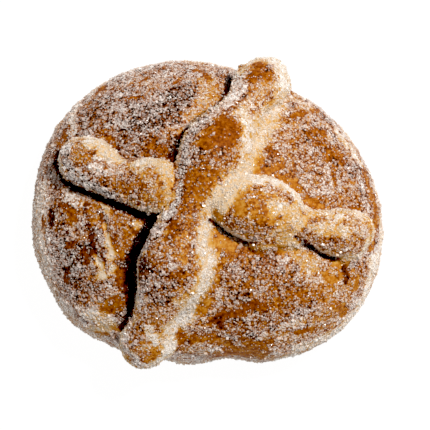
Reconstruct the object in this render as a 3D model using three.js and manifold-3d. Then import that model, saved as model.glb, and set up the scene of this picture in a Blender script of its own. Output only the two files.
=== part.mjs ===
// Pan de muerto: a round sweet loaf with bone-shaped strips of dough baked onto its crown.
// One long strip runs over the crown, and a shorter strip lies against it on either side.
// Millimetres, +Z up. The loaf stands on its flat base, and the origin is under the middle of the bread.
import * as THREE from "three";
import { mergeVertices } from "three/addons/utils/BufferGeometryUtils.js";
import Module from "manifold-3d";

// Loaf: driving dimensions
const LOAF_RADIUS = 55; // mean radius at the widest level
const LOAF_HEIGHT = 44; // crown above the table, without the strips
const WIDEST_LEVEL = 13; // height of the widest section
const BASE_SHARE = 0.86; // radius of the flat base, as a share of the widest radius
const CROWN_FULLNESS = 2.15; // 2 makes an elliptic crown, more makes it fuller at the shoulders

// The outline departs from a circle by a few waves: how many, how deep, and where the first one peaks.
const OUTLINE_WAVES = [
  { count: 2, depth: 4.5, peak: -11 },
  { count: 3, depth: 1.5, peak: -22 },
  { count: 4, depth: 1.0, peak: 45 },
];

// Bulges and dents of the outline: where they lie and how far round they reach, in degrees, and how far out.
const OUTLINE_BUMPS = [
  { at: -155, reach: 9, out: -0.8 },
  { at: -127, reach: 5, out: -0.7 },
  { at: -97, reach: 6, out: 1.0 },
  { at: -80, reach: 6, out: -1.3 },
  { at: -24, reach: 10, out: -0.6 },
  { at: 55, reach: 5, out: -0.7 },
  { at: 98, reach: 10, out: 0.5 },
];

// Gentle lumps in the crown, from the dough rising unevenly.
const LUMP_HEIGHT = 0.7;
const LUMP_SPAN = 17;

// The dough rises between the strips, so each strip lies in a valley of this depth and half width.
const VALLEY_DEPTH = 3.2;
const VALLEY_HALF_WIDTH = 11;

// Mesh fineness
const LOAF_SIDES = 98;
const UNDERSIDE_STEPS = 5;
const CROWN_STEPS = 24;
const BONE_SIDES = 20;
const BONE_END_RINGS = 4;
const MM_PER_BONE_RING = 3;
const ROUTE_SAMPLES = 40;

// Room left between solids that touch.
const SEAT_GAP = 0.3;

// Bones: a route in plan from end to end, and knuckles along it as a distance and a half width.
// The section is flatter than wide, and its axis lies above the crown by a share of its half height.
// Past the shoulder, a share of the outline, a strip runs straight on and its end stands off the loaf.
const BONE_FLATNESS = 0.78;
const BONE_LIFT = 0.4;
const SHOULDER_SHARE = 0.84;

const LONG_BONE = {
  route: [
    [21.7, 49.3],
    [19.9, 43.7],
    [12.2, 32.0],
    [3.6, 16.6],
    [-6.7, -5.4],
    [-9.7, -21.0],
    [-16.2, -35.4],
    [-20.7, -49.7],
  ],
  knuckles: [
    [0.095, 8.7],
    [0.215, 6.3],
    [0.36, 10.8],
    [0.54, 7.2],
    [0.7, 11.3],
    [0.85, 6.2],
    [0.92, 8.2],
  ],
};

const LEFT_BONE = {
  route: [
    [-45.2, 17.4],
    [-38.4, 14.8],
    [-28.2, 8.4],
    [-18.6, 5.8],
    [-6.8, 3.2],
  ],
  knuckles: [
    [0.24, 8.4],
    [0.5, 6.6],
    [0.84, 9.0],
  ],
};

const RIGHT_BONE = {
  route: [
    [1.6, 2.4],
    [14.6, -1.8],
    [22.4, -3.0],
    [29.0, -5.6],
    [42.0, -8.8],
    [53.6, -6.2],
  ],
  knuckles: [
    [0.3, 10.6],
    [0.42, 8.8],
    [0.55, 4.9],
    [0.78, 7.6],
  ],
};

// Folds: deep creases in the crust along the shaded side of a strip, from one share of its route to another.
const FOLDS = [
  { bone: LONG_BONE, from: 0.0, to: 0.18, halfWidth: 2.4, depth: 6.0 },
  { bone: LONG_BONE, from: 0.2, to: 0.4, halfWidth: 1.6, depth: 5.0 },
  { bone: LONG_BONE, from: 0.48, to: 0.88, halfWidth: 2.8, depth: 7.5 },
  { bone: LEFT_BONE, from: 0.0, to: 0.95, halfWidth: 1.3, depth: 5.0 },
  { bone: RIGHT_BONE, from: 0.02, to: 0.36, halfWidth: 0.9, depth: 3.0 },
  { bone: RIGHT_BONE, from: 0.56, to: 0.84, halfWidth: 0.9, depth: 3.0 },
];
const FOLD_POINTS = 7;
const FOLD_OVERLAP = 0.4; // share of a fold's half width that lies under the strip

// Cracks: shallow tears where the crust stretched beside the long strip.
const CRACKS = [
  { route: [[-32.6, 0.4], [-31.4, -7.0], [-29.4, -14.8]], halfWidth: 0.8, depth: 1.6 },
  { route: [[-34.9, -14.4], [-33.8, -17.2], [-32.4, -20.0]], halfWidth: 0.8, depth: 1.4 },
  { route: [[-37.2, 1.6], [-36.8, -5.6], [-35.8, -13.0]], halfWidth: 0.6, depth: 1.2 },
];
const CREASE_SIDES = 10;
const CREASE_RINGS = 7; // at least

const CRUST_BROWN = 0xb0713a;
const BONE_BROWN = 0xc48a4e;

const wasm = await Module();
wasm.setup();

const radians = THREE.MathUtils.degToRad;

function outlineRadius(angle) {
  let radius = LOAF_RADIUS;
  for (const wave of OUTLINE_WAVES) {
    radius += wave.depth * Math.cos(wave.count * (angle - radians(wave.peak)));
  }
  for (const bump of OUTLINE_BUMPS) {
    const away = angle - radians(bump.at);
    const turn = Math.atan2(Math.sin(away), Math.cos(away));
    radius += bump.out * Math.exp(-Math.pow(turn / radians(bump.reach), 2));
  }
  return radius;
}

// The route in plan as evenly spaced points.
function planRoute(bone) {
  const points = bone.route.map(([x, y]) => new THREE.Vector2(x, y));
  return new THREE.SplineCurve(points).getSpacedPoints(ROUTE_SAMPLES);
}

const planRoutes = [LONG_BONE, LEFT_BONE, RIGHT_BONE].map(planRoute);

function distanceToRoutes(x, y) {
  let nearest = Infinity;
  for (const route of planRoutes) {
    for (const point of route) {
      nearest = Math.min(nearest, Math.hypot(point.x - x, point.y - y));
    }
  }
  return nearest;
}

// How far out a point in plan lies, as a share of the outline.
function outlineShare(x, y) {
  return Math.hypot(x, y) / outlineRadius(Math.atan2(y, x));
}

// Height of the smooth dome at a share of the outline.
function domeHeight(share) {
  const rise = Math.pow(1 - Math.pow(Math.min(share, 1), CROWN_FULLNESS), 1 / CROWN_FULLNESS);
  return WIDEST_LEVEL + (LOAF_HEIGHT - WIDEST_LEVEL) * rise;
}

// How far the crown stands above the smooth dome: lumps, less the valleys under the strips.
function crownRelief(x, y) {
  const inside = 1 - Math.pow(Math.min(outlineShare(x, y), 1), 4);
  const valley = VALLEY_DEPTH * Math.exp(-Math.pow(distanceToRoutes(x, y) / VALLEY_HALF_WIDTH, 2));
  const lump = LUMP_HEIGHT * Math.sin(x / LUMP_SPAN + 1) * Math.cos(y / LUMP_SPAN - x / (2 * LUMP_SPAN));
  return inside * (lump - valley);
}

function crownHeight(x, y) {
  return domeHeight(outlineShare(x, y)) + crownRelief(x, y);
}

// Height of the dome that a strip follows: the crown as far as the shoulder, then a straight slope.
function slopeHeight(x, y) {
  const share = outlineShare(x, y);
  const past = Math.max(0, share - SHOULDER_SHARE);
  const step = 0.01;
  const slope = (domeHeight(SHOULDER_SHARE + step) - domeHeight(SHOULDER_SHARE - step)) / (2 * step);
  return domeHeight(share - past) + slope * past;
}

function slopeNormal(x, y) {
  const step = 0.5;
  const slopeX = (slopeHeight(x + step, y) - slopeHeight(x - step, y)) / (2 * step);
  const slopeY = (slopeHeight(x, y + step) - slopeHeight(x, y - step)) / (2 * step);
  return new THREE.Vector3(-slopeX, -slopeY, 1).normalize();
}

// Half section of the loaf: radius as a share of the outline, and height. It starts and ends on the axis.
function loafProfile() {
  const profile = [new THREE.Vector2(0, 0)];
  for (let i = 0; i <= UNDERSIDE_STEPS; i++) {
    const turn = ((i / UNDERSIDE_STEPS) * Math.PI) / 2;
    const share = BASE_SHARE + (1 - BASE_SHARE) * Math.sin(turn);
    profile.push(new THREE.Vector2(share, WIDEST_LEVEL * (1 - Math.cos(turn))));
  }
  for (let i = 1; i <= CROWN_STEPS; i++) {
    const turn = ((1 - i / CROWN_STEPS) * Math.PI) / 2;
    profile.push(new THREE.Vector2(Math.sin(turn), LOAF_HEIGHT));
  }
  return profile;
}

// The loaf, with its top and sides moved out by grow.
function loafGeometry(grow) {
  const geometry = new THREE.LatheGeometry(loafProfile(), LOAF_SIDES);
  const position = geometry.getAttribute("position");
  for (let i = 0; i < position.count; i++) {
    const angle = Math.atan2(position.getX(i), position.getZ(i));
    const share = Math.hypot(position.getX(i), position.getZ(i));
    const level = position.getY(i);
    const reach = share * outlineRadius(angle);
    const x = reach * Math.cos(angle);
    const y = reach * Math.sin(angle);
    const onCrown = level > WIDEST_LEVEL + 1e-6;
    const z = onCrown ? crownHeight(x, y) + grow : level;
    const spread = 1 + (grow * share) / Math.max(reach, 1);
    position.setXYZ(i, x * spread, y * spread, z);
  }
  return geometry;
}

// A round profile turned straight, then bent along a route over the crown. Its axis runs on the given curve,
// its width lies along the crown, and its height stands on it, scaled by flatness.
function bentLathe(profile, curve, sides, flatness) {
  const length = profile[profile.length - 1].y;
  const geometry = new THREE.LatheGeometry(profile, sides);
  const position = geometry.getAttribute("position");
  for (let i = 0; i < position.count; i++) {
    const share = THREE.MathUtils.clamp(position.getY(i) / length, 0, 1);
    const point = curve.getPointAt(share);
    const along = curve.getTangentAt(share);
    const up = slopeNormal(point.x, point.y);
    up.addScaledVector(along, -up.dot(along)).normalize();
    const across = new THREE.Vector3().crossVectors(along, up);
    point.addScaledVector(across, position.getX(i));
    point.addScaledVector(up, position.getZ(i) * flatness);
    position.setXYZ(i, point.x, point.y, point.z);
  }
  return geometry;
}

// Half width of a strip at a share of its length. It changes smoothly from knuckle to knuckle, to round ends.
function halfWidthAt(bone, share) {
  const knuckles = bone.knuckles;
  const [first, last] = [knuckles[0], knuckles[knuckles.length - 1]];
  if (share < first[0]) return first[1] * roundEnd(share / first[0]);
  if (share > last[0]) return last[1] * roundEnd((1 - share) / (1 - last[0]));
  const next = Math.max(1, knuckles.findIndex((knuckle) => knuckle[0] >= share));
  const [before, after] = [knuckles[next - 1], knuckles[next]];
  return THREE.MathUtils.lerp(before[1], after[1], THREE.MathUtils.smoothstep(share, before[0], after[0]));
}

function roundEnd(share) {
  return Math.sqrt(1 - Math.pow(1 - share, 2));
}

// A strip straightened out: half widths against distance along it, with rings closer together at the ends.
function boneProfile(bone, length) {
  const start = bone.knuckles[0][0];
  const end = 1 - bone.knuckles[bone.knuckles.length - 1][0];
  const shares = [];
  for (let i = 0; i < BONE_END_RINGS; i++) {
    shares.push(start * (1 - Math.cos(((i / BONE_END_RINGS) * Math.PI) / 2)));
  }
  const middleRings = Math.round(((1 - start - end) * length) / MM_PER_BONE_RING);
  for (let i = 0; i <= middleRings; i++) {
    shares.push(THREE.MathUtils.lerp(start, 1 - end, i / middleRings));
  }
  for (let i = BONE_END_RINGS - 1; i >= 0; i--) {
    shares.push(1 - end * (1 - Math.cos(((i / BONE_END_RINGS) * Math.PI) / 2)));
  }
  return shares.map((share) => new THREE.Vector2(halfWidthAt(bone, share), share * length));
}

// The strip's axis in space: its route in plan, laid on the crown.
function boneCurve(bone) {
  const meanHalfWidth = bone.knuckles.reduce((sum, knuckle) => sum + knuckle[1], 0) / bone.knuckles.length;
  const lift = BONE_LIFT * BONE_FLATNESS * meanHalfWidth;
  const points = planRoute(bone).map(
    ({ x, y }) => new THREE.Vector3(x, y, slopeHeight(x, y) + crownRelief(x, y) + lift),
  );
  return new THREE.CatmullRomCurve3(points);
}

function boneGeometry(bone, grow) {
  const curve = boneCurve(bone);
  const profile = boneProfile(bone, curve.getLength());
  for (const point of profile) point.x += point.x > 0 ? grow : 0;
  return bentLathe(profile, curve, BONE_SIDES, BONE_FLATNESS);
}

// The line of a fold in plan, along the edge of its strip on the right of the way the route runs.
function foldRoute(fold) {
  const axis = boneCurve(fold.bone);
  const points = [];
  for (let i = 0; i < FOLD_POINTS; i++) {
    const share = THREE.MathUtils.lerp(fold.from, fold.to, i / (FOLD_POINTS - 1));
    const { x, y } = axis.getPointAt(share);
    const along = axis.getTangentAt(share);
    const aside = halfWidthAt(fold.bone, share) + fold.halfWidth * (1 - 2 * FOLD_OVERLAP);
    const flat = Math.hypot(along.x, along.y);
    points.push([x + (along.y / flat) * aside, y - (along.x / flat) * aside]);
  }
  return points;
}

// A pointed spindle laid along a line on the crown, to be cut out of the crust.
function creaseGeometry(route, halfWidth, depth, shrink) {
  const curve = new THREE.CatmullRomCurve3(
    route.map(([x, y]) => new THREE.Vector3(x, y, crownHeight(x, y))),
  );
  const length = curve.getLength();
  const steps = Math.max(CREASE_RINGS, Math.round(length / MM_PER_BONE_RING));
  const profile = [];
  for (let i = 0; i <= steps; i++) {
    const swell = i % steps ? Math.sqrt(Math.sin((i / steps) * Math.PI)) : 0;
    profile.push(new THREE.Vector2((halfWidth - shrink) * swell, (i / steps) * length));
  }
  return bentLathe(profile, curve, CREASE_SIDES, depth / halfWidth);
}

function solidOf(geometry) {
  const bare = new THREE.BufferGeometry();
  bare.setAttribute("position", geometry.getAttribute("position"));
  bare.setIndex(geometry.getIndex());
  const merged = mergeVertices(bare, 1e-4);
  const mesh = new wasm.Mesh({
    numProp: 3,
    vertProperties: merged.getAttribute("position").array,
    triVerts: new Uint32Array(merged.getIndex().array),
  });
  return new wasm.Manifold(mesh);
}

function geometryOf(solid) {
  const mesh = solid.getMesh();
  const geometry = new THREE.BufferGeometry();
  geometry.setAttribute("position", new THREE.BufferAttribute(mesh.vertProperties, mesh.numProp));
  geometry.setIndex(new THREE.BufferAttribute(mesh.triVerts, 1));
  geometry.computeVertexNormals();
  return geometry;
}

// The loaf with its folds and cracks cut in. Grown by the gap, it is the seat that the strips are cut with.
function creasedLoaf(grow) {
  let loaf = solidOf(loafGeometry(grow));
  for (const fold of FOLDS) {
    loaf = loaf.subtract(solidOf(creaseGeometry(foldRoute(fold), fold.halfWidth, fold.depth, grow)));
  }
  for (const crack of CRACKS) {
    loaf = loaf.subtract(solidOf(creaseGeometry(crack.route, crack.halfWidth, crack.depth, grow)));
  }
  return loaf;
}

function largestBody(solid) {
  return solid.decompose().reduce((best, body) => (body.volume() > best.volume() ? body : best));
}

const seat = creasedLoaf(SEAT_GAP);
const longBone = solidOf(boneGeometry(LONG_BONE, 0));
const longBoneSeat = solidOf(boneGeometry(LONG_BONE, SEAT_GAP));

function shortBone(bone) {
  return largestBody(solidOf(boneGeometry(bone, 0)).subtract(seat).subtract(longBoneSeat));
}

function breadMesh(name, solid, color) {
  const material = new THREE.MeshStandardMaterial({ color, roughness: 0.75, metalness: 0 });
  const mesh = new THREE.Mesh(geometryOf(solid), material);
  mesh.name = name;
  return mesh;
}

const bread = new THREE.Group();
bread.add(
  breadMesh("loaf", largestBody(creasedLoaf(0)), CRUST_BROWN),
  breadMesh("long_bone", largestBody(longBone.subtract(seat)), BONE_BROWN),
  breadMesh("left_bone", shortBone(LEFT_BONE), BONE_BROWN),
  breadMesh("right_bone", shortBone(RIGHT_BONE), BONE_BROWN),
);

// The origin is under the middle of the whole bread.
const middle = new THREE.Box3().setFromObject(bread).getCenter(new THREE.Vector3());
bread.position.set(-middle.x, -middle.y, 0);

const panDeMuerto = new THREE.Group();
panDeMuerto.name = "pan_de_muerto";
panDeMuerto.add(bread);

export default panDeMuerto;
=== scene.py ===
"""Pan de muerto: a sugared sweet loaf with bone-shaped strips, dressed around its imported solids.

Lengths are in millimetres until a mesh or an object is made. Pixels are in the photograph's frame.
"""
import math
from typing import NamedTuple

import bmesh
import bpy
import numpy as np
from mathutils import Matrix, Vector, noise
from mathutils.bvhtree import BVHTree


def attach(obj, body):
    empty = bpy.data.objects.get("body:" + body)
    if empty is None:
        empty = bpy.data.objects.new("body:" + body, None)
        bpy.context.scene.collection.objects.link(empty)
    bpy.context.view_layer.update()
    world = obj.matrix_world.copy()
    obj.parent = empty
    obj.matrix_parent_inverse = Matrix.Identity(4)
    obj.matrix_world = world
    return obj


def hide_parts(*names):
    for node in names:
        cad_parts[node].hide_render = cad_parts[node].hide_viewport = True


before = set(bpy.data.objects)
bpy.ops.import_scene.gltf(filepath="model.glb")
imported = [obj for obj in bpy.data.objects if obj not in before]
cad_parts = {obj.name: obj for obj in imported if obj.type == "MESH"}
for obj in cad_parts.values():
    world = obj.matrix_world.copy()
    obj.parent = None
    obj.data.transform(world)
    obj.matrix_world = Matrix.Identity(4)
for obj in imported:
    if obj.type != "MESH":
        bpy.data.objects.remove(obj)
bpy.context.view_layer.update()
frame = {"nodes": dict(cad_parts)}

MM = 0.001

# Camera: nearly straight above, with this point of the bread at this pixel
FRAME_PX = 430
FOCAL_PX = 1350
SENSOR_MM = 36
CAMERA_ELEVATION = math.radians(82)
CAMERA_DISTANCE = 450
PX_PER_MM = FOCAL_PX / CAMERA_DISTANCE
AIM_POINT = np.array([0.2, 0.8, 13.0])
AIM_PX = (208, 212)

# Key light, from the upper right of the picture
LIGHT_AZIMUTH = math.radians(38)
LIGHT_ELEVATION = math.radians(64)
LIGHT_DISTANCE = 700
LIGHT_SIZE = 90
LIGHT_WATTS = 4.2
SKY_STRENGTH = 0.36
BLACK_LEVEL = 0.02

# Crust meshes
LOAF_VOXEL = 0.61
BONE_VOXEL = 0.5
SMOOTH_ROUNDS = 6

# Dough joins: a strip runs smoothly into the loaf or strip next to it, from this far off. A join is wide on
# the lit side of the long strip and where one shows, and there is none along the deep folds
LIT_BLENDS = {"long_bone": 7.0, "left_bone": 2.2, "right_bone": 3.2}
SHADED_BLEND = 2.2
JOIN_BLEND = 8.0
JOIN_REACH = 5.0
FOLD_REACH = 3.0
FOLD_DEPTH = 8.0
WIDEST_BLEND = 8.0
BLEND_ROUNDS = 5
BONE_SINK = 0.8

# Painted shade in the folds: how dark it is, how high on a strip it shows, and how soft its edges are, in
# half widths
PAINTED_FOLD_SHADE = 0.97
FOLD_CLIMB = (4.8, 2.8)
FOLD_EDGE = (1.5, 0.6)
FOLD_RAGGED = 0.2

# Rays that a point sends up tell how open it lies to the sky; where it lies shut in, shade is painted on the
# crust
RAY_START = 0.7
RAY_SLOPE = math.radians(52)
RAYS_AROUND = 8
RAY_REACH = 15
OPEN_TO_SHUT = (0.4, 0.12)

# Browning of the crust, from 0, raw dough, to 1, and what the bake adds on top
PALE_BONE = 0.12
BONE_BAKE = 0.44
PALE_LOAF = 0.3
LOAF_BAKE = 0.26

# Sugar: a film of caked grains in the crust's surface, and loose grains on top of it
BONE_SUGAR = 0.63
LOAF_SUGAR = 0.7
STEEP_SUGAR = 0.1
MOST_SUGAR = 0.95
SUGAR_SEED = 11
SUGAR_CELL = 0.62
GRAIN_LIFT = 0.2
STEEP_LIFT = -0.1
GRAIN_FACE = 0.5
FILM_WHITENESS = (0.72, 1.0)
COVER_POWER = 2.5
# Pinholes: dark gaps between the grains, partly painted shade
PINHOLES = (0.3, 0.08)
PINHOLE_SHADE_AND_BROWNING = 0.4
CAKED = (0.45, 0.8)
FULL_FILM = 0.92
THIN_TO_THICK = (0.3, 0.7)
THIN_WHITENESS = 0.6
CLUMP_SPAN = 1.0
GRAIN_ROOM = 0.2

# Patches of the photograph: how soft their edges are, in half widths, and how ragged
PATCH_EDGE = (1.5, 0.5)
MOST_RAGGED = 1.4
RAGGED_SHARE = 0.6

LOAF_RADIUS = 55
BONES = ("long_bone", "left_bone", "right_bone")


class Layer(NamedTuple):
    """A layer of noise: its strength, how far apart its lumps lie, its octaves and its place."""

    strength: float
    span: float
    octaves: int
    shift: float


LOAF_LUMPS = [Layer(0.5, 15, 2, 3.1), Layer(0.3, 5, 3, 8.2)]
BONE_LUMPS = [Layer(0.6, 11, 2, 1.3), Layer(0.25, 4, 3, 5.7)]
UNEVEN_BAKE = [Layer(0.16, 9, 2, 2.2), Layer(0.16, 2.4, 2, 7.7)]
DRIFTS = [Layer(0.1, 9, 2, 6.4), Layer(0.24, 2.4, 3, 1.9)]
STREAK_STRENGTH = 0.1
RAGGED_EDGES = [Layer(1.5, 2.6, 4, 4.9)]


class SugarKind(NamedTuple):
    """A kind of sugar grain: its size, its share of the cover, and how white it is."""

    name: str
    size: float
    share: float
    whiteness: tuple
    blocky: bool


SUGAR_KINDS = [
    SugarKind("clear_sugar", 0.48, 0.26, (0.25, 0.75), False),
    SugarKind("white_sugar", 0.46, 0.26, (0.6, 1.0), False),
    SugarKind("coarse_sugar", 0.54, 0.08, (0.7, 1.0), True),
]
SIZE_SPREAD = 0.24


class Seams(NamedTuple):
    """Paths over the bread where strips stand apart from the loaf, and where they run smoothly into it."""

    folds: list
    joins: list


class Patch(NamedTuple):
    """A stretch of crust along pixels of the photograph, with its browning and its cover of sugar, in places
    with painted light or shade.
    """

    path: list
    half_width: float
    brown_and_shade: float
    sugar: float


class Fold(NamedTuple):
    """A fold at the edge of a strip, along pixels of the photograph.

    Half the width of its painted shade is given where it starts and where it ends, and a fold of no width
    isn't painted.
    At a deep fold the strip stands apart from the loaf.
    """

    path: list
    start_width: float
    end_width: float
    brown_and_shade: float = PAINTED_FOLD_SHADE
    deep: bool = True


# Painted shade: dark crust without sugar along the folds beside the strips, where their shadow falls
FOLDS = [
    Fold([(229, 79), (227, 91), (223, 100), (217, 106)], 1.15, 0.5),
    Fold([(187, 129), (179, 138), (175, 148), (172, 158)], 0.5, 1.5),
    Fold([(172, 158), (175, 168), (176, 180), (172, 192)], 0.45, 0.25, 0.8, deep=False),
    Fold([(155, 216), (148, 227), (140, 240), (135, 250), (130, 260), (129, 290)], 1.5, 1.8),
    Fold([(129, 288), (130, 300), (131, 312), (127, 320), (121, 328)], 1.8, 0.8, 0.9),
    Fold([(58, 154), (58, 167), (64, 180), (75, 188)], 1.15, 1.15),
    Fold([(73, 186), (86, 192), (98, 197), (110, 202)], 1.05, 1.1),
    Fold([(108, 201), (120, 206), (130, 211), (140, 216), (150, 219), (158, 219)], 1.2, 1.4),
    Fold([(210, 220), (225, 231), (242, 241), (256, 244)], 0.45, 0.2, 0.92, deep=False),
    Fold([(295, 236), (302, 240), (309, 246)], 0.3, 0.6, deep=False),
    Fold([(309, 245), (317, 251), (327, 256), (337, 259)], 0.65, 0.35, deep=False),
    Fold([(288, 93), (282, 100)], 0.0, 0.0),
]

# Pixels along the shaded edge of the right strip, where it runs smoothly into the loaf
JOINS = [
    [(262, 243), (270, 241), (280, 240), (292, 239)],
    [(346, 257), (360, 250), (368, 240)],
]

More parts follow.
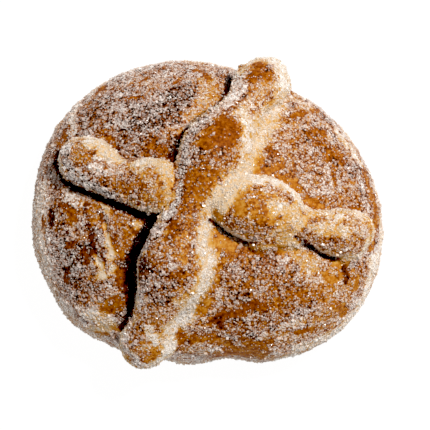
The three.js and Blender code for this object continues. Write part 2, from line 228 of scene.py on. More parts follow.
PATCHES = [
    # Broad tones of the lobes
    Patch([(284, 140), (300, 170), (340, 192)], 7.0, 0.48, 0.71),
    Patch([(318, 272), (346, 288), (326, 318)], 6.0, 0.42, 0.68),
    Patch([(270, 338), (300, 340)], 3.0, 0.42, 0.7),
    Patch([(190, 350), (214, 352)], 3.0, 0.4, 0.72),
    # Rim
    Patch([(40, 196), (38, 230), (42, 262), (54, 296), (70, 318), (92, 336)], 4.8, 0.36, 0.88),
    Patch([(374, 262), (367, 292), (352, 318), (332, 340), (304, 353), (282, 358)], 3.0, 0.14, 0.85),
    Patch([(381, 222), (382, 240), (378, 262)], 1.5, 0.12, 0.85),
    # Pale flank where the long strip meets the loaf on the lit side
    Patch([(284, 90), (274, 108), (264, 126), (256, 144)], 3.4, 0.15, 0.68),
    Patch([(256, 144), (250, 160), (240, 174)], 3.2, 0.06, 0.66),
    Patch([(246, 170), (236, 182), (224, 196), (214, 206)], 3.8, 0.06, 0.6),
    Patch([(212, 208), (206, 222), (203, 236)], 2.8, 0.07, 0.68),
    Patch([(204, 240), (208, 258), (204, 284), (196, 300), (184, 314)], 3.8, 0.07, 0.76),
    Patch([(184, 312), (174, 326), (170, 340), (166, 352)], 3.6, 0.0, 0.88),
    # Top knob
    Patch([(237, 72), (240, 84), (236, 94)], 2.6, 0.52, 0.9),
    Patch([(246, 60), (264, 56), (280, 66), (284, 80)], 3.4, 0.1, 0.94),
    Patch([(260, 64), (258, 72), (267, 77)], 1.8, 0.6, 0.0),
    Patch([(250, 77), (254, 79)], 1.1, 0.62, 0.0),
    Patch([(262, 88), (252, 102), (240, 112)], 2.2, 0.36, 0.73),
    # Second knuckle of the long strip
    Patch([(232, 100), (222, 108), (206, 118)], 2.0, 0.5, 0.84),
    Patch([(206, 118), (194, 130), (186, 144), (184, 160)], 2.0, 0.66, 0.79),
    Patch([(244, 116), (248, 132), (247, 146)], 2.7, 0.2, 0.86),
    Patch([(226, 118), (214, 128), (204, 142)], 1.8, 0.6, 0.03),
    Patch([(235, 128), (226, 140), (210, 144)], 2.6, 0.64, 0.04),
    Patch([(216, 157), (206, 166)], 3.0, 0.56, 0.57),
    # Waist of the long strip
    Patch([(184, 162), (180, 180), (176, 200), (168, 216)], 1.8, 0.74, 0.78),
    Patch([(198, 170), (190, 188), (188, 207)], 2.3, 0.56, 0.4),
    Patch([(212, 176), (205, 190), (200, 202)], 2.0, 0.54, 0.35),
    # Third knuckle of the long strip
    Patch([(158, 228), (148, 244), (142, 256)], 2.0, 0.66, 0.84),
    Patch([(174, 226), (172, 236)], 1.6, 0.68, 0.2),
    Patch([(184, 240), (180, 258)], 2.4, 0.41, 0.56),
    Patch([(160, 252), (168, 262)], 2.8, 0.52, 0.72),
    # Dark spot on the strip's shaded flank: baked dark crust, darkened further as painted shade beside the
    # fold
    Patch([(143, 262), (148, 270), (143, 280)], 2.6, 0.88, 0.36),
    Patch([(152, 284), (160, 300)], 4.0, 0.64, 0.66),
    Patch([(174, 274), (190, 276)], 1.0, 0.52, 0.46),
    Patch([(140, 292), (143, 306)], 1.6, 0.6, 0.79),
    Patch([(170, 312), (150, 322)], 2.8, 0.46, 0.67),
    # Bottom knob
    Patch([(126, 340), (130, 353), (142, 364)], 2.0, 0.5, 0.86),
    Patch([(133, 331), (134, 342)], 1.2, 0.55, 0.64),
    Patch([(146, 346), (152, 347)], 1.3, 0.3, 0.8),
    Patch([(157, 352), (149, 361)], 1.5, 0.44, 0.4),
    Patch([(150, 330), (158, 340)], 1.8, 0.2, 0.86),
    Patch([(169, 328), (167, 344)], 1.3, 0.03, 0.87),
    # Left strip
    Patch([(66, 148), (65, 160), (70, 173), (80, 182)], 2.4, 0.7, 0.86),
    Patch([(92, 141), (104, 149), (117, 161)], 2.8, 0.08, 0.72),
    Patch([(77, 147), (80, 155), (90, 158)], 1.4, 0.46, 0.56),
    Patch([(96, 167), (112, 168), (130, 166)], 2.4, 0.44, 0.79),
    Patch([(82, 181), (94, 187), (108, 193), (124, 203)], 1.9, 0.8, 0.8),
    Patch([(114, 183), (124, 188), (136, 184)], 1.7, 0.52, 0.54),
    Patch([(140, 162), (158, 162)], 2.7, 0.06, 0.72),
    Patch([(160, 164), (168, 174), (170, 184)], 2.4, 0.16, 0.64),
    Patch([(169, 188), (166, 202)], 2.2, 0.26, 0.62),
    Patch([(146, 178), (156, 184)], 1.5, 0.37, 0.68),
    Patch([(148, 196), (159, 198)], 1.8, 0.4, 0.56),
    # Inner knuckle of the right strip
    Patch([(252, 178), (272, 180), (290, 188), (301, 201)], 2.9, 0.09, 0.85),
    Patch([(218, 204), (228, 192), (240, 184)], 3.6, 0.06, 0.56),
    Patch([(266, 195), (282, 200)], 2.6, 0.4, 0.66),
    Patch([(241, 200), (239, 211)], 1.6, 0.42, 0.2),
    Patch([(252, 194), (258, 208)], 2.4, 0.44, 0.45),
    Patch([(262, 212), (280, 217)], 2.3, 0.46, 0.34),
    Patch([(217, 213), (221, 218)], 1.2, 0.45, 0.1),
    Patch([(232, 222), (246, 229), (258, 236)], 2.4, 0.54, 0.66),
    Patch([(254, 241), (268, 240)], 1.2, 0.5, 0.7),
    # Neck and outer knuckle of the right strip
    Patch([(278, 208), (292, 212), (300, 222)], 2.8, 0.16, 0.7),
    Patch([(284, 222), (280, 234), (290, 240)], 2.6, 0.3, 0.65),
    Patch([(316, 212), (336, 216), (356, 217)], 2.6, 0.22, 0.77),
    Patch([(318, 228), (332, 228), (348, 230)], 2.6, 0.24, 0.73),
    Patch([(352, 222), (363, 232)], 2.4, 0.38, 0.7),
    Patch([(306, 235), (318, 243), (330, 249), (346, 251)], 2.0, 0.48, 0.66),
    Patch([(364, 238), (357, 250)], 1.5, 0.44, 0.7),
    # Upper left lobe
    Patch([(186, 92), (168, 106), (148, 116), (134, 124)], 5.0, 0.76, 0.68),
    Patch([(78, 136), (90, 116), (108, 102), (124, 98)], 5.0, 0.65, 0.67),
    Patch([(210, 80), (207, 100), (198, 116)], 3.4, 0.37, 0.66),
    Patch([(195, 70), (203, 72), (209, 79)], 1.1, 0.55, 0.1),
    Patch([(96, 94), (103, 87)], 1.2, 0.55, 0.15),
    Patch([(139, 82), (147, 78)], 0.6, 0.62, 0.15),
    Patch([(175, 82), (181, 79)], 0.6, 0.62, 0.15),
    Patch([(127, 97), (143, 96)], 0.6, 0.62, 0.2),
    Patch([(101, 132), (112, 142), (118, 150)], 1.3, 0.6, 0.4),
    Patch([(122, 156), (132, 160), (144, 155)], 1.6, 0.54, 0.6),
    Patch([(152, 146), (166, 150), (168, 156)], 2.2, 0.6, 0.46),
    Patch([(117, 149), (119, 150)], 0.8, 0.9, 0.0),
    Patch([(60, 140), (69, 127)], 1.7, 0.62, 0.3),
    Patch([(78, 103), (72, 118), (72, 130)], 1.6, 0.4, 0.88),
    # Upper right lobe
    Patch([(290, 98), (302, 104), (314, 110)], 2.4, 0.34, 0.7),
    Patch([(294, 116), (306, 113)], 1.0, 0.56, 0.03),
    Patch([(312, 111), (320, 110), (326, 115)], 0.9, 0.56, 0.1),
    Patch([(311, 133), (323, 132)], 1.4, 0.58, 0.36),
    Patch([(315, 141), (325, 142)], 1.4, 0.58, 0.36),
    Patch([(324, 156), (336, 153), (343, 159)], 1.8, 0.57, 0.34),
    Patch([(334, 168), (335, 178)], 1.0, 0.56, 0.36),
    Patch([(268, 149), (274, 153)], 1.3, 0.6, 0.36),
    Patch([(258, 160), (258, 172)], 1.6, 0.42, 0.02),
    Patch([(290, 171), (310, 172), (322, 175)], 0.4, 0.62, 0.55),
    Patch([(266, 172), (280, 166)], 1.4, 0.5, 0.15),
    Patch([(276, 176), (288, 180)], 1.1, 0.5, 0.1),
    Patch([(294, 184), (300, 190)], 1.2, 0.5, 0.15),
    Patch([(306, 200), (312, 204)], 1.4, 0.48, 0.1),
    Patch([(316, 206), (328, 210)], 1.3, 0.5, 0.2),
    Patch([(352, 210), (358, 210)], 1.0, 0.55, 0.2),
    Patch([(338, 132), (350, 148), (361, 162)], 1.8, 0.25, 0.82),
    Patch([(366, 172), (369, 186), (372, 200)], 2.0, 0.5, 0.24),
    Patch([(373, 196), (376, 214), (375, 232), (371, 246)], 2.0, 0.5, 0.28),
    # Lower left lobe
    Patch([(51, 214), (51, 222)], 1.4, 0.95, 0.05),
    Patch([(42, 219), (43, 225)], 0.9, 0.65, 0.05),
    Patch([(70, 212), (72, 218)], 1.4, 0.6, 0.15),
    # Painted light: paler crust with more sugar here, lightening the left strip's cast shadow
    Patch([(66, 194), (78, 200), (86, 204)], 1.7, 0.42, 0.84),
    Patch([(60, 205), (68, 207)], 1.0, 0.66, 0.3),
    Patch([(66, 250), (84, 254), (74, 266), (68, 282)], 3.2, 0.76, 0.7),
    Patch([(70, 246), (77, 241)], 1.1, 0.74, 0.1),
    Patch([(66, 279), (68, 272)], 1.0, 0.82, 0.1),
    Patch([(84, 252), (86, 260)], 1.3, 0.74, 0.15),
    Patch([(72, 284), (81, 290)], 1.2, 0.7, 0.45),
    Patch([(87, 205), (89, 216), (90, 228), (92, 240), (94, 253)], 1.0, 0.86, 0.04),
    Patch([(94, 206), (96, 222)], 2.0, 0.45, 0.55),
    Patch([(102, 214), (103, 232)], 0.5, 0.78, 0.1),
    Patch([(103, 203), (110, 214)], 0.8, 0.08, 0.6),
    Patch([(104, 224), (107, 236)], 0.7, 0.2, 0.5),
    Patch([(108, 238), (110, 246), (112, 255)], 1.4, 0.0, 0.4),
    Patch([(98, 260), (101, 268), (103, 275)], 1.5, 0.0, 0.45),
    Patch([(112, 268), (112, 270)], 1.2, 0.02, 0.5),
    Patch([(114, 216), (118, 226)], 2.0, 0.5, 0.55),
    Patch([(114, 240), (116, 248)], 1.2, 0.58, 0.42),
    Patch([(124, 232), (127, 246)], 2.0, 0.48, 0.56),
    Patch([(120, 258), (124, 252)], 1.5, 0.5, 0.36),
    Patch([(120, 272), (122, 284)], 1.5, 0.62, 0.3),
    Patch([(136, 225), (144, 221)], 1.8, 0.24, 0.55),
    Patch([(130, 213), (146, 219)], 0.7, 0.48, 0.1),
    Patch([(131, 226), (137, 237)], 0.5, 0.8, 0.05),
    Patch([(90, 314), (104, 319)], 3.0, 0.22, 0.84),
    Patch([(106, 310), (118, 302), (122, 296)], 1.8, 0.54, 0.36),
    Patch([(84, 299), (86, 305)], 1.4, 0.6, 0.55),
    Patch([(96, 331), (108, 326)], 2.2, 0.14, 0.65),
    Patch([(98, 333), (106, 335)], 0.9, 0.5, 0.25),
    Patch([(113, 328), (117, 330)], 1.0, 0.4, 0.1),
    # Pocket between the long strip and the right one, and the gold beside it
    Patch([(209, 236), (213, 250)], 2.2, 0.33, 0.0),
    Patch([(222, 244), (236, 248), (232, 256)], 2.4, 0.39, 0.08),
    Patch([(240, 250), (262, 252)], 1.6, 0.52, 0.3),
    Patch([(268, 246), (288, 250)], 1.5, 0.44, 0.25),
    Patch([(216, 268), (212, 282), (206, 296), (200, 312)], 1.8, 0.46, 0.3),
    # Lower right lobe
    Patch([(346, 324), (326, 338), (302, 348)], 2.8, 0.22, 0.84),
    Patch([(288, 237), (292, 247)], 1.5, 0.12, 0.6),
    Patch([(300, 256), (312, 264)], 3.0, 0.3, 0.65),
    Patch([(240, 268), (262, 284), (280, 292)], 5.0, 0.54, 0.61),
    Patch([(236, 270), (248, 276)], 2.4, 0.58, 0.7),
    Patch([(334, 262), (344, 262)], 1.4, 0.38, 0.2),
    Patch([(328, 276), (334, 283)], 1.6, 0.42, 0.25),
    Patch([(340, 266), (342, 274)], 1.2, 0.4, 0.25),
    Patch([(344, 268), (348, 276), (346, 282)], 0.9, 0.88, 0.03),
    Patch([(356, 278), (357, 288)], 1.0, 0.5, 0.25),
    Patch([(334, 306), (342, 308), (346, 313)], 1.4, 0.5, 0.12),
    Patch([(292, 294), (304, 298), (318, 296)], 1.8, 0.52, 0.46),
    Patch([(264, 306), (278, 302)], 1.8, 0.52, 0.46),
    Patch([(212, 320), (224, 318), (240, 312), (254, 306), (261, 308)], 1.5, 0.65, 0.12),
    Patch([(218, 320), (221, 327)], 1.3, 0.84, 0.05),
    Patch([(232, 328), (258, 325), (280, 318), (292, 308)], 2.4, 0.54, 0.64),
    Patch([(284, 328), (304, 322)], 1.2, 0.34, 0.74),
    Patch([(294, 333), (314, 329)], 0.9, 0.56, 0.1),
    Patch([(192, 340), (206, 338)], 1.2, 0.52, 0.2),
    Patch([(212, 338), (226, 344)], 2.0, 0.5, 0.42),
    Patch([(240, 342), (274, 342)], 1.4, 0.53, 0.4),
    Patch([(222, 356), (240, 350), (262, 348)], 2.2, 0.52, 0.26),
    Patch([(177, 328), (180, 336), (177, 346)], 1.6, 0.58, 0.16),
    Patch([(222, 354), (260, 355)], 2.8, 0.5, 0.26),
]


def camera_axes():
    forward = np.array([0, math.cos(CAMERA_ELEVATION), -math.sin(CAMERA_ELEVATION)])
    right = np.array([1.0, 0, 0])
    return right, np.cross(right, forward), forward


def camera_eye():
    right, up, forward = camera_axes()
    aside = (FRAME_PX / 2 - AIM_PX[0]) / PX_PER_MM
    below = (FRAME_PX / 2 - AIM_PX[1]) / PX_PER_MM
    return AIM_POINT - forward * CAMERA_DISTANCE + right * aside - up * below


def make_camera():
    data = bpy.data.cameras.new("camera")
    data.sensor_width = SENSOR_MM
    data.lens = FOCAL_PX / FRAME_PX * SENSOR_MM
    camera = bpy.data.objects.new("camera", data)
    camera.location = camera_eye() * MM
    forward = Vector(camera_axes()[2])
    camera.rotation_mode = "QUATERNION"
    camera.rotation_quaternion = forward.to_track_quat("-Z", "Y")
    bpy.context.collection.objects.link(camera)
    bpy.context.scene.camera = camera


def smoothstep(low, high, value):
    share = np.clip((value - low) / (high - low), 0, 1)
    return share * share * (3 - 2 * share)


def fractal(points, span, octaves=3, shift=0.0):
    """Smooth noise of about -1 to 1 whose largest lumps are one span apart."""
    offset = Vector((shift, shift * 1.7, shift * 2.3))
    return np.array([noise.fractal(Vector(p) / span + offset, 1.0, 2.0, octaves) for p in points])


def layered(points, layers):
    return sum(layer.strength * fractal(points, layer.span, layer.octaves, layer.shift) for layer in layers)


def mesh_points(mesh):
    points = np.empty(len(mesh.vertices) * 3)
    mesh.vertices.foreach_get("co", points)
    return points.reshape(-1, 3) / MM


def set_mesh_points(mesh, points):
    mesh.vertices.foreach_set("co", (points * MM).ravel())
    mesh.update()


def mesh_normals(mesh):
    normals = np.empty(len(mesh.vertices) * 3)
    mesh.vertex_normals.foreach_get("vector", normals)
    return normals.reshape(-1, 3)


def surface_of(nodes):
    """A search tree of the solids of these nodes, in millimetres."""
    points, faces = [], []
    for node in nodes:
        mesh = frame["nodes"][node].data
        start = len(points)
        points += [Vector(p) for p in mesh_points(mesh)]
        faces += [[start + v for v in face.vertices] for face in mesh.polygons]
    return BVHTree.FromPolygons(points, faces)


def on_bread(pixel, bread):
    """The point of the bread that shows at a pixel, or the nearest one to a pixel just off its outline."""
    right, up, forward = camera_axes()
    ray = forward * FOCAL_PX + right * (pixel[0] - FRAME_PX / 2) + up * (FRAME_PX / 2 - pixel[1])
    point = bread.ray_cast(Vector(camera_eye()), Vector(ray).normalized())[0]
    if point is None:
        point = bread.find_nearest(Vector(camera_eye() + ray / PX_PER_MM))[0]
    return np.array(point)


def to_pixels(points):
    """Where points show in the photograph's frame."""
    right, up, forward = camera_axes()
    gap = points - camera_eye()
    depth = gap @ forward
    across = FRAME_PX / 2 + FOCAL_PX * (gap @ right) / depth
    down = FRAME_PX / 2 - FOCAL_PX * (gap @ up) / depth
    return np.stack([across, down], 1)


def nearest_on_path(points, path):
    """Distances from points to a path, and how far along it the nearest places lie, from 0 to 1."""
    nearest = np.full(len(points), np.inf)
    shares = np.zeros(len(points))
    stretches = len(path) - 1
    for i, (start, end) in enumerate(zip(path[:-1], path[1:])):
        along = end - start
        share = np.clip((points - start) @ along / (along @ along), 0, 1)
        gap = np.linalg.norm(points - start - share[:, None] * along, axis=1)
        closer = gap < nearest
        nearest[closer] = gap[closer]
        shares[closer] = (i + share[closer]) / stretches
    return nearest, shares


def distance_to_path(points, path):
    return nearest_on_path(points, path)[0]


def even_copy(node, name, voxel):
    """A copy of a node's solid with an even, fine mesh and its facets smoothed away."""
    mesh = frame["nodes"][node].data.copy()
    mesh.materials.clear()
    edit = bmesh.new()
    edit.from_mesh(mesh)
    bmesh.ops.remove_doubles(edit, verts=edit.verts, dist=1e-6)
    edit.to_mesh(mesh)
    edit.free()
    piece = bpy.data.objects.new(name, mesh)
    bpy.context.collection.objects.link(piece)
    remesh = piece.modifiers.new("even_mesh", "REMESH")
    remesh.mode = "VOXEL"
    remesh.voxel_size = voxel * MM
    smooth = piece.modifiers.new("smooth_facets", "SMOOTH")
    smooth.iterations = SMOOTH_ROUNDS
    evaluated = piece.evaluated_get(bpy.context.evaluated_depsgraph_get())
    final = bpy.data.meshes.new_from_object(evaluated)
    piece.modifiers.clear()
    piece.data = final
    final.name = name
    final.shade_smooth()
    return piece


def light_direction():
    flat = math.cos(LIGHT_ELEVATION)
    return np.array(
        [flat * math.cos(LIGHT_AZIMUTH), flat * math.sin(LIGHT_AZIMUTH), math.sin(LIGHT_ELEVATION)]
    )


def toward_light():
    flat = light_direction()[:2]
    return flat / np.linalg.norm(flat)


def gap_to(points, surface, reach):
    """Signed gap from points to a solid, reach at the most, and the way out of the solid in plan."""
    gaps = np.full(len(points), float(reach))
    ways = np.zeros((len(points), 2))
    for i, point in enumerate(points):
        nearest, normal, _, distance = surface.find_nearest(Vector(point), reach)
        if nearest is None:
            continue
        outward = np.array(normal)
        gaps[i] = distance if (point - np.array(nearest)) @ outward > 0 else -distance
        ways[i] = outward[:2]
    return gaps, ways / np.maximum(np.linalg.norm(ways, axis=1), 1e-6)[:, None]


def blend_reach(points, ways, lit_blend, seams):
    """How far off a join starts: far on the lit side, near on the other, and not at all at a fold."""
    lit = smoothstep(-0.1, 0.5, ways @ toward_light())
    reach = SHADED_BLEND + (lit_blend - SHADED_BLEND) * lit
    for path in seams.joins:
        near = smoothstep(JOIN_REACH, 0.5 * JOIN_REACH, distance_to_path(points, path))
        reach = np.maximum(reach, JOIN_BLEND * near)
    for path in seams.folds:
        reach = reach * smoothstep(0.5 * FOLD_REACH, FOLD_REACH, distance_to_path(points, path))
    return np.maximum(reach, 0.01)


def plan_directions(normals):
    flat = normals[:, :2]
    return flat / np.maximum(np.linalg.norm(flat, axis=1), 1e-6)[:, None]


def blend_rise(points, normals, surface, lit_blend, seams, facing=None):
    """How far points rise along their normals to lie on a smooth union with another surface."""
    rise = np.zeros(len(points))
    gaps, ways = gap_to(points, surface, WIDEST_BLEND)
    near = np.flatnonzero(gaps < WIDEST_BLEND)
    reach = blend_reach(points[near], (ways if facing is None else facing)[near], lit_blend, seams)
    joined = (gaps[near] < reach) & (reach > 0.3)
    near, reach = near[joined], reach[joined]
    for _ in range(BLEND_ROUNDS):
        gaps, _ = gap_to(points[near] + normals[near] * rise[near, None], surface, WIDEST_BLEND)
        closeness = np.clip(1 - np.abs(rise[near] - gaps) / reach, 0, 1)
        depth = np.minimum(rise[near], gaps) - closeness**2 * reach / 4
        rise[near] = np.clip(rise[near] - depth, 0, reach / 3.5)
    return rise


def find_openness(mesh, bread):
    """Keeps the share of rays up from each point that leave the bread: small in a fold or under a strip."""
    points, normals = mesh_points(mesh), mesh_normals(mesh)
    rays = [Vector((0, 0, 1))]
    for i in range(RAYS_AROUND):
        turn = 2 * math.pi * i / RAYS_AROUND
        flat = math.cos(RAY_SLOPE)
        rays.append(Vector((flat * math.cos(turn), flat * math.sin(turn), math.sin(RAY_SLOPE))))
    free = np.empty(len(points))
    for i, start in enumerate(points + normals * RAY_START):
        misses = [bread.ray_cast(Vector(start), ray, RAY_REACH)[0] is None for ray in rays]
        free[i] = sum(misses) / len(rays)
    set_field(mesh, "open", free)


def shape_loaf(mesh, bones, seams):
    """Lumps, and joins with the strips."""
    points, normals = mesh_points(mesh), mesh_normals(mesh)
    above_base = smoothstep(0.5, 6, points[:, 2])
    lumps = layered(points, LOAF_LUMPS)
    rises = [blend_rise(points, normals, bones[bone], LIT_BLENDS[bone], seams) for bone in BONES]
    rise = np.max(rises, axis=0)
    out = (lumps - GRAIN_ROOM) * above_base + rise
    set_mesh_points(mesh, points + normals * out[:, None])


def shape_bone(mesh, bone, loaf, bones, seams):
    """Lumps, and joins with the loaf and with the other strips."""
    points, normals = mesh_points(mesh), mesh_normals(mesh)
    lumps = layered(points, BONE_LUMPS)
    gaps, _ = gap_to(points, loaf, 2)
    sink = np.zeros((len(points), 3))
    sink[:, 2] = -BONE_SINK * smoothstep(1.0, 0.4, gaps)
    rise = blend_rise(points, normals, loaf, LIT_BLENDS[bone], seams, plan_directions(normals))
    for other in BONES:
        if other != bone:
            shared = min(LIT_BLENDS[bone], LIT_BLENDS[other])
            rise = np.maximum(rise, blend_rise(points, normals, bones[other], shared, seams))
    set_mesh_points(mesh, points + normals * (lumps + rise)[:, None] + sink)


def browning(points, normals, is_bone):
    """How dark the crust is baked, from 0, raw dough, to 1: darkest on top, palest on flanks and low down."""
    if is_bone:
        base = PALE_BONE + BONE_BAKE * smoothstep(0.35, 0.95, normals[:, 2])
    else:
        base = PALE_LOAF + LOAF_BAKE * smoothstep(10, 26, points[:, 2])
    return base + layered(points, UNEVEN_BAKE)


def sugar_cover(points, normals, is_bone):
    """How much sugar lies on the crust, from 0 to 1: more on steep flanks, and none along the loaf's base."""
    steep = smoothstep(0.85, 0.3, normals[:, 2])
    cover = (BONE_SUGAR if is_bone else LOAF_SUGAR) + STEEP_SUGAR * steep
    above_base = 1 if is_bone else smoothstep(2, 8, points[:, 2])
    return cover * above_base


def streaks(points, span, length, shift):
    """Noise drawn out along the rim, as the crust stretches around the dome."""
    radius = np.linalg.norm(points[:, :2], axis=1)
    around = points[:, :2] / np.maximum(radius, 1e-6)[:, None]
    return fractal(np.column_stack([radius / span, around * LOAF_RADIUS / length]), 1, 3, shift)


def sugar_drifts(points):
    """How the sugar drifts: the share by which it is thicker, or thinner where that is below 0."""
    return layered(points, DRIFTS) + STREAK_STRENGTH * streaks(points, 2.0, 9, 5.3)


def in_fold(fold, points, pixels, ragged, bread):
    """1 for points where a fold's painted shade shows, 0 for those out of it."""
    gap, share = nearest_on_path(pixels, np.array(fold.path, float))
    gap = gap / PX_PER_MM + FOLD_RAGGED * ragged
    half_width = fold.start_width + (fold.end_width - fold.start_width) * share
    near = distance_to_path(points, [on_bread(pixel, bread) for pixel in fold.path]) < FOLD_DEPTH
    return near * smoothstep(FOLD_EDGE[0] * half_width, FOLD_EDGE[1] * half_width, gap)


def set_field(mesh, name, values):
    field = mesh.attributes.new(name, "FLOAT", "POINT")
    field.data.foreach_set("value", np.clip(values, 0, 1))


def dress_crust(piece, node, bread, loaf):
    """Works out browning, painted shade and sugar over a crust piece and keeps them as fields of its mesh."""
    mesh = piece.data
    points, normals = mesh_points(mesh), mesh_normals(mesh)
    is_bone = node in BONES
    brown_and_shade = browning(points, normals, is_bone)
    sugar = sugar_cover(points, normals, is_bone)
    ragged = layered(points, RAGGED_EDGES)
    for patch in PATCHES:
        path = [on_bread(pixel, bread) for pixel in patch.path]
        gap = distance_to_path(points, path) + ragged * min(MOST_RAGGED, RAGGED_SHARE * patch.half_width)
        inside = smoothstep(PATCH_EDGE[0] * patch.half_width, PATCH_EDGE[1] * patch.half_width, gap)
        brown_and_shade += (patch.brown_and_shade - brown_and_shade) * inside
        sugar += (patch.sugar - sugar) * inside
    sugar = np.clip(sugar * (1 + sugar_drifts(points)), 0, MOST_SUGAR)
    sugar = sugar**COVER_POWER
    # Painted shade: where a point lies shut in from the sky, in a fold or under a strip, the crust is painted
    # dark and bare of sugar
    seen = smoothstep(-0.45, -0.1, normals[:, 2]) if is_bone else 1
    shut = smoothstep(*OPEN_TO_SHUT, mesh_field(mesh, "open"))
    brown_and_shade += (PAINTED_FOLD_SHADE - brown_and_shade) * shut * seen
    sugar *= 1 - shut
    low = smoothstep(*FOLD_CLIMB, gap_to(points, loaf, FOLD_CLIMB[0])[0]) if is_bone else 1
    pixels = to_pixels(points)
    # Painted shade: along each fold the crust is painted dark and bare of sugar
    for fold in FOLDS:
        if fold.start_width:
            inside = in_fold(fold, points, pixels, ragged, bread) * seen * (low if fold.deep else 1)
            brown_and_shade += (fold.brown_and_shade - brown_and_shade) * inside
            sugar *= 1 - inside
    # This field holds the bake's browning and the painted shade of folds and shut-in crust together
    set_field(mesh, "brown_and_shade", brown_and_shade)
    set_field(mesh, "sugar", sugar)
    mesh.materials.append(crust_material())
    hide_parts(node)
    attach(piece, "root")


def linear(red, green, blue):
    """A colour given as screen values up to 255, for a shader."""
    shares = [channel / 255 for channel in (red, green, blue)]
    return [s / 12.92 if s < 0.04045 else ((s + 0.055) / 1.055) ** 2.4 for s in shares] + [1.0]


def fill_ramp(ramp, stops):
    while len(ramp.elements) < len(stops):
        ramp.elements.new(1.0)
    for element, (position, color) in zip(ramp.elements, stops):
        element.position = position
        element.color = color


CRUST_STOPS = [
    (0.0, linear(224, 209, 190)),
    (0.15, linear(219, 189, 150)),
    (0.3, linear(204, 154, 76)),
    (0.45, linear(182, 117, 42)),
    (0.6, linear(150, 82, 27)),
    (0.75, linear(120, 59, 25)),
    (0.9, linear(84, 42, 24)),
    (1.0, linear(36, 20, 16)),
]
SUGAR_STOPS = [
    (0.0, linear(238, 208, 154)),
    (0.38, linear(238, 232, 227)),
]


def new_material(name):
    material = bpy.data.materials.new(name)
    material.use_nodes = True
    nodes = material.node_tree.nodes
    return material, nodes, material.node_tree.links, nodes["Principled BSDF"]


def field_node(nodes, name):
    field = nodes.new("ShaderNodeAttribute")
    field.attribute_name = name
    return field.outputs["Fac"]


def noise_node(nodes, links, span, detail):
    """Noise over the object's own coordinates, with its lumps one span apart."""
    place = nodes.new("ShaderNodeTexCoord")
    texture = nodes.new("ShaderNodeTexNoise")
    texture.inputs["Scale"].default_value = 1 / (span * MM)
    texture.inputs["Detail"].default_value = detail
    links.new(place.outputs["Object"], texture.inputs["Vector"])
    return texture.outputs["Fac"]


def math_node(nodes, links, operation, first, second, third=None):
    node = nodes.new("ShaderNodeMath")
    node.operation = operation
    for socket, value in zip(node.inputs, (first, second, third)):
        if value is None:
            continue
        if isinstance(value, (int, float)):
            socket.default_value = value
        else:
            links.new(value, socket)
    return node.outputs["Value"]


def crust_color(nodes, links, brown_and_shade):
    ramp = nodes.new("ShaderNodeValToRGB")
    fill_ramp(ramp.color_ramp, CRUST_STOPS)
    links.new(brown_and_shade, ramp.inputs["Fac"])
    return ramp.outputs["Color"]


def whitened(nodes, links, color, share):
    """The color, mixed with a share of sugar: warm where that is thin and lets light through, else white."""
    ramp = nodes.new("ShaderNodeValToRGB")
    fill_ramp(ramp.color_ramp, SUGAR_STOPS)
    links.new(share, ramp.inputs["Fac"])
    mix = nodes.new("ShaderNodeMix")
    mix.data_type = "RGBA"
    links.new(share, mix.inputs["Factor"])
    links.new(color, mix.inputs["A"])
    links.new(ramp.outputs["Color"], mix.inputs["B"])
    return mix.outputs["Result"]


def map_node(nodes, links, value, low, high, to_low=0.0, to_high=1.0):
    node = nodes.new("ShaderNodeMapRange")
    node.inputs["From Min"].default_value = low
    node.inputs["From Max"].default_value = high
    node.inputs["To Min"].default_value = to_low
    node.inputs["To Max"].default_value = to_high
    links.new(value, node.inputs["Value"])
    return node.outputs["Result"]


def faded(nodes, links, value, by, low, high, to_low, to_high):
    """A value times another one that is mapped to a range."""
    return math_node(nodes, links, "MULTIPLY", value, map_node(nodes, links, by, low, high, to_low, to_high))


def contrast_node(nodes, links, value):
    """A value moved away from the middle, towards 0 or 1."""
    node = nodes.new("ShaderNodeMapRange")
    node.interpolation_type = "SMOOTHSTEP"
    node.inputs["From Max"].default_value = FULL_FILM
    links.new(value, node.inputs["Value"])
    return node.outputs["Result"]


def sugar_cells(nodes, links):
    """Cells the size of a sugar grain: the distance from a cell's middle, and a random value for each."""
    place = nodes.new("ShaderNodeTexCoord")
    cells = nodes.new("ShaderNodeTexVoronoi")
    cells.inputs["Scale"].default_value = 1 / (SUGAR_CELL * MM)
    links.new(place.outputs["Object"], cells.inputs["Vector"])
    split = nodes.new("ShaderNodeSeparateColor")
    links.new(cells.outputs["Color"], split.inputs["Color"])
    return cells.outputs["Distance"], split.outputs["Red"]


def grain_pattern(nodes, links):
    """Values spread evenly from 0 to 1, in cells the size of a sugar grain that lie in clumps."""
    distance, tone = sugar_cells(nodes, links)
    clumps = map_node(nodes, links, noise_node(nodes, links, CLUMP_SPAN, 3), 0.3, 0.7, 0.0, 0.7)
    mixed = math_node(nodes, links, "MULTIPLY_ADD", tone, 2.0, clumps)
    spread = map_node(nodes, links, mixed, 0.4, 2.3)
    # Painted shade: each grain's cell is darker towards its edge, and lower there in the bump
    dome = map_node(nodes, links, distance, 0.75, 0.3, 0.5, 1.05)
    return math_node(nodes, links, "MULTIPLY", spread, dome)


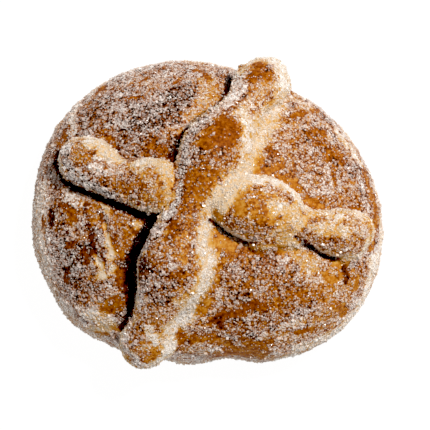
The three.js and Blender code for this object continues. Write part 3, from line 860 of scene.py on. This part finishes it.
def crust_material():
    """Baked crust: browning and painted fold shade from the mesh, mottled finely, under a film of caked
    sugar.

    The film is white grain by grain, as white on the whole as the mesh says, with dark pinholes in between
    that are partly painted shade.
    """
    if "bread_crust" in bpy.data.materials:
        return bpy.data.materials["bread_crust"]
    material, nodes, links, shader = new_material("bread_crust")
    sugar = field_node(nodes, "sugar")
    # This field holds the bake's browning and the painted shade of the folds together
    baked_and_shaded = field_node(nodes, "brown_and_shade")
    grain = grain_pattern(nodes, links)
    mottle = math_node(nodes, links, "MULTIPLY_ADD", noise_node(nodes, links, 1.3, 5), 0.8, -0.4)
    mottle = faded(nodes, links, mottle, baked_and_shaded, 0.12, 0.5, 0.08, 1.0)
    # Pinholes between grains: darker crust, partly the crust's own mottle and partly painted shade in the
    # gaps
    pinholes = map_node(nodes, links, grain, *PINHOLES, 0.0, PINHOLE_SHADE_AND_BROWNING)
    pinholes = faded(nodes, links, pinholes, baked_and_shaded, 0.3, 0.8, 0.3, 1.3)
    pinholes = faded(nodes, links, pinholes, sugar, 0.02, 0.2, 0.3, 1.0)
    pinholes = faded(nodes, links, pinholes, sugar, *CAKED, 1.0, 0.3)
    brown_and_shade = math_node(nodes, links, "ADD", baked_and_shaded, mottle)
    brown_and_shade = math_node(nodes, links, "ADD", brown_and_shade, pinholes)

    some_sugar = math_node(nodes, links, "MAXIMUM", sugar, 0.02)
    power = math_node(nodes, links, "SUBTRACT", math_node(nodes, links, "DIVIDE", 1.0, some_sugar), 1.0)
    film = contrast_node(nodes, links, math_node(nodes, links, "POWER", grain, power))
    whiteness = map_node(nodes, links, sugar, *THIN_TO_THICK, *FILM_WHITENESS)
    dust = math_node(nodes, links, "MULTIPLY", film, whiteness)
    # Less white film in the pinholes, so that they show dark, as painted shade between the grains
    gaps = map_node(nodes, links, grain, *PINHOLES, 1.0, 0.2)
    gaps = math_node(nodes, links, "MAXIMUM", gaps, map_node(nodes, links, sugar, *CAKED))
    dust = math_node(nodes, links, "MULTIPLY", dust, gaps)
    color = whitened(nodes, links, crust_color(nodes, links, brown_and_shade), dust)
    links.new(color, shader.inputs["Base Color"])
    shader.inputs["Roughness"].default_value = 0.5
    shader.inputs["Specular IOR Level"].default_value = 0.08

    height = math_node(nodes, links, "MULTIPLY_ADD", noise_node(nodes, links, 0.8, 4), 0.6, film)
    bump = nodes.new("ShaderNodeBump")
    bump.inputs["Strength"].default_value = 0.8
    bump.inputs["Distance"].default_value = 0.45 * MM
    links.new(height, bump.inputs["Height"])
    links.new(bump.outputs["Normal"], shader.inputs["Normal"])
    return material


def sugar_material():
    """Sugar crystals: from clear ones that take on the crust's colour to white ones, with shiny faces."""
    if "sugar_crystal" in bpy.data.materials:
        return bpy.data.materials["sugar_crystal"]
    material, nodes, links, shader = new_material("sugar_crystal")
    under = crust_color(nodes, links, field_node(nodes, "brown_and_shade"))
    links.new(whitened(nodes, links, under, field_node(nodes, "whiteness")), shader.inputs["Base Color"])
    shader.inputs["Roughness"].default_value = 0.2
    shader.inputs["Subsurface Weight"].default_value = 0.3
    shader.inputs["Subsurface Radius"].default_value = (0.5, 0.45, 0.4)
    shader.inputs["Subsurface Scale"].default_value = 0.5 * MM
    return material


BLOCK_CORNERS = np.array([[x, y, z] for z in (-1, 1) for y in (-1, 1) for x in (-1, 1)]) * 0.5
BLOCK_FACES = np.array(
    [[0, 2, 3], [0, 3, 1], [4, 5, 7], [4, 7, 6], [0, 1, 5], [0, 5, 4]]
    + [[2, 6, 7], [2, 7, 3], [0, 4, 6], [0, 6, 2], [1, 3, 7], [1, 7, 5]]
)
CRYSTAL_CORNERS = np.array([[1, 0, 0], [-1, 0, 0], [0, 1, 0], [0, -1, 0], [0, 0, 1], [0, 0, -1]]) * 0.5
CRYSTAL_FACES = np.array(
    [[0, 2, 4], [2, 1, 4], [1, 3, 4], [3, 0, 4], [2, 0, 5], [1, 2, 5], [3, 1, 5], [0, 3, 5]]
)


def random_turns(rng, count):
    """Random rotation matrices, from random unit quaternions."""
    quaternions = rng.normal(size=(count, 4))
    w, x, y, z = (quaternions / np.linalg.norm(quaternions, axis=1)[:, None]).T
    return np.stack(
        [
            np.stack([1 - 2 * (y * y + z * z), 2 * (x * y - w * z), 2 * (x * z + w * y)], 1),
            np.stack([2 * (x * y + w * z), 1 - 2 * (x * x + z * z), 2 * (y * z - w * x)], 1),
            np.stack([2 * (x * z - w * y), 2 * (y * z + w * x), 1 - 2 * (x * x + y * y)], 1),
        ],
        1,
    )


def mesh_field(mesh, name):
    values = np.empty(len(mesh.vertices))
    mesh.attributes[name].data.foreach_get("value", values)
    return values


def sugar_places(mesh, kind, rng):
    """Random points in clumps on a crust, as thick as its sugar, with normals, browning and sugar there."""
    mesh.calc_loop_triangles()
    corners = np.empty(len(mesh.loop_triangles) * 3, int)
    mesh.loop_triangles.foreach_get("vertices", corners)
    corners = corners.reshape(-1, 3)
    points, normals = mesh_points(mesh), mesh_normals(mesh)
    cover, brown_and_shade = mesh_field(mesh, "sugar"), mesh_field(mesh, "brown_and_shade")
    a, b, c = (points[corners[:, i]] for i in range(3))
    area = np.linalg.norm(np.cross(b - a, c - a), axis=1) / 2
    grain_area = GRAIN_FACE * kind.size**2
    expected = area * cover[corners].mean(1) * kind.share / grain_area
    count = rng.poisson(2 * expected.sum())
    chosen = rng.choice(len(corners), count, p=expected / expected.sum())
    u, v = rng.random((2, count))
    fold = u + v > 1
    u[fold], v[fold] = 1 - u[fold], 1 - v[fold]
    shares = np.stack([1 - u - v, u, v], 1)[:, :, None]
    place = (points[corners[chosen]] * shares).sum(1)
    upright = (normals[corners[chosen]] * shares).sum(1)
    kept = rng.random(count) < 0.5 + 1.4 * fractal(place, CLUMP_SPAN, 2, 9.1)
    nearest = corners[chosen, 0]
    return place[kept], upright[kept], brown_and_shade[nearest][kept], cover[nearest][kept]


def make_sugar(kind, where, carriers, rng):
    """One kind of sugar grain on these crust pieces, as one joined mesh of uneven little crystals."""
    places = [sugar_places(carrier.data, kind, rng) for carrier in carriers]
    points, normals, brown_and_shade, cover = (np.concatenate(parts) for parts in zip(*places))
    count = len(points)
    corners = BLOCK_CORNERS if kind.blocky else CRYSTAL_CORNERS
    faces = BLOCK_FACES if kind.blocky else CRYSTAL_FACES
    size = kind.size * np.exp(SIZE_SPREAD * np.clip(rng.normal(size=count), -2, 2))
    sides = size[:, None] * rng.uniform(0.8, 1.2, (count, 3))
    grains = corners[None] * sides[:, None, :]
    grains = grains * (1 + rng.uniform(-0.2, 0.2, grains.shape))
    grains = np.einsum("nij,nkj->nki", random_turns(rng, count), grains)
    lift = size * (STEEP_LIFT + (GRAIN_LIFT - STEEP_LIFT) * np.maximum(normals[:, 2], 0))
    grains += (points + normals * lift[:, None])[:, None, :]
    triangles = (faces[None] + len(corners) * np.arange(count)[:, None, None]).reshape(-1, 3)

    name = kind.name + "_on_" + where
    mesh = bpy.data.meshes.new(name)
    mesh.vertices.add(count * len(corners))
    mesh.loops.add(triangles.size)
    mesh.polygons.add(len(triangles))
    mesh.vertices.foreach_set("co", (grains * MM).ravel())
    mesh.loops.foreach_set("vertex_index", triangles.ravel())
    mesh.polygons.foreach_set("loop_start", np.arange(0, triangles.size, 3))
    mesh.update(calc_edges=True)
    mesh.shade_flat()
    set_field(mesh, "brown_and_shade", np.repeat(brown_and_shade, len(corners)))
    thickness = THIN_WHITENESS + (1 - THIN_WHITENESS) * smoothstep(*THIN_TO_THICK, cover)
    whiteness = rng.uniform(*kind.whiteness, count) * thickness
    set_field(mesh, "whiteness", np.repeat(whiteness, len(corners)))
    mesh.materials.append(sugar_material())
    piece = bpy.data.objects.new(name, mesh)
    bpy.context.collection.objects.link(piece)
    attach(piece, "root")


def make_floor():
    mesh = bpy.data.meshes.new("floor")
    edge = 1.5
    corners = [(-edge, -edge, 0), (edge, -edge, 0), (edge, edge, 0), (-edge, edge, 0)]
    mesh.from_pydata(corners, [], [(0, 1, 2, 3)])
    material, _, _, shader = new_material("floor")
    shader.inputs["Base Color"].default_value = (0.05, 0.05, 0.05, 1)
    shader.inputs["Roughness"].default_value = 0.9
    shader.inputs["Emission Color"].default_value = (1, 1, 1, 1)
    shader.inputs["Emission Strength"].default_value = 0.97
    mesh.materials.append(material)
    floor = bpy.data.objects.new("floor", mesh)
    bpy.context.collection.objects.link(floor)


def make_light():
    data = bpy.data.lights.new("key", "AREA")
    data.shape = "DISK"
    data.size = LIGHT_SIZE * MM
    data.energy = LIGHT_WATTS
    data.color = (1.0, 0.97, 0.93)
    key = bpy.data.objects.new("key", data)
    direction = light_direction()
    key.location = direction * LIGHT_DISTANCE * MM
    key.rotation_mode = "QUATERNION"
    key.rotation_quaternion = Vector(-direction).to_track_quat("-Z", "Y")
    bpy.context.collection.objects.link(key)
    world = bpy.data.worlds.new("sky")
    world.use_nodes = True
    world.node_tree.nodes["Background"].inputs["Color"].default_value = (1.0, 0.98, 0.95, 1)
    world.node_tree.nodes["Background"].inputs["Strength"].default_value = SKY_STRENGTH
    bpy.context.scene.world = world


def set_tone():
    """Deep shadows: the darkest tones fall to black."""
    view = bpy.context.scene.view_settings
    view.view_transform = "Standard"
    view.use_curve_mapping = True
    view.curve_mapping.black_level = (BLACK_LEVEL,) * 3
    view.curve_mapping.update()


make_camera()
make_floor()
make_light()
set_tone()

bread = surface_of(frame["nodes"])
loaf_surface = surface_of(["loaf"])
bone_surfaces = {bone: surface_of([bone]) for bone in BONES}
seams = Seams(
    [[on_bread(pixel, bread) for pixel in fold.path] for fold in FOLDS if fold.deep],
    [[on_bread(pixel, bread) for pixel in join] for join in JOINS],
)
rng = np.random.default_rng(SUGAR_SEED)

loaf_crust = even_copy("loaf", "loaf_crust", LOAF_VOXEL)
find_openness(loaf_crust.data, bread)
shape_loaf(loaf_crust.data, bone_surfaces, seams)
dress_crust(loaf_crust, "loaf", bread, loaf_surface)
bone_crusts = []
for bone in BONES:
    bone_crust = even_copy(bone, bone + "_crust", BONE_VOXEL)
    find_openness(bone_crust.data, bread)
    shape_bone(bone_crust.data, bone, loaf_surface, bone_surfaces, seams)
    dress_crust(bone_crust, bone, bread, loaf_surface)
    bone_crusts.append(bone_crust)
for kind in SUGAR_KINDS:
    make_sugar(kind, "loaf", [loaf_crust], rng)
    make_sugar(kind, "bones", bone_crusts, rng)
